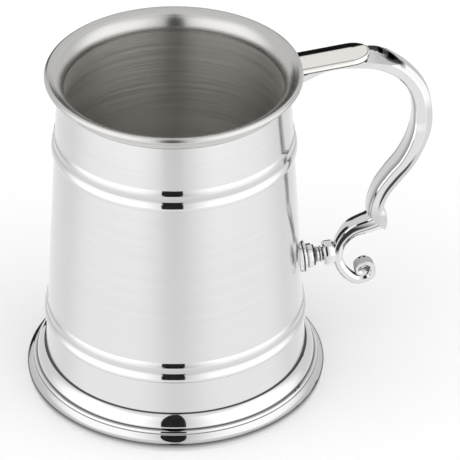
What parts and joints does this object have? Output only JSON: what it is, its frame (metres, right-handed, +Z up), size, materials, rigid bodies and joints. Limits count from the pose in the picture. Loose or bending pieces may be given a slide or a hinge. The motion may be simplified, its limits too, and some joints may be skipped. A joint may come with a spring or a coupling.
{
  "type": "pewter tankard",
  "caption": "Tapered pewter drinking tankard with a flared lip, two moulded girdles, a stepped foot ring and a double-scroll handle with a flat thumb plate.",
  "frame": {"origin": "on the drum's axis, at the middle of the base disc's underside, half a millimetre above the plane that the foot ring rests on (z = 0)", "axes": "+Z up along the drum's axis; +X through the handle, which lies in the XZ plane; +Y across the handle, to the right-handed rule"},
  "size_m": [0.1421, 0.1042, 0.1223],
  "materials": {
    "drum_pewter": "polished outside, lathe-brushed inside",
    "base_pewter": "lathe-brushed satin",
    "rim_pewter": "satin lip, polished bead",
    "girdle_pewter": "mirror polished",
    "foot_pewter": "mirror polished",
    "handle_pewter": "cast and polished",
    "plate_pewter": "polished with a fine satin face",
    "strut_pewter": "turned and polished"
  },
  "bodies": {
    "root": {"drum": "drum_pewter", "base_disc": "base_pewter", "rim_ring": "rim_pewter", "upper_girdle": "girdle_pewter", "lower_girdle": "girdle_pewter", "foot_ring": "foot_pewter", "upper_scroll": "handle_pewter", "lower_scroll": "handle_pewter", "thumb_plate": "plate_pewter", "strut_pad": "strut_pewter", "baluster": "strut_pewter", "strut_collar": "strut_pewter"}
  },
  "joints": []
}
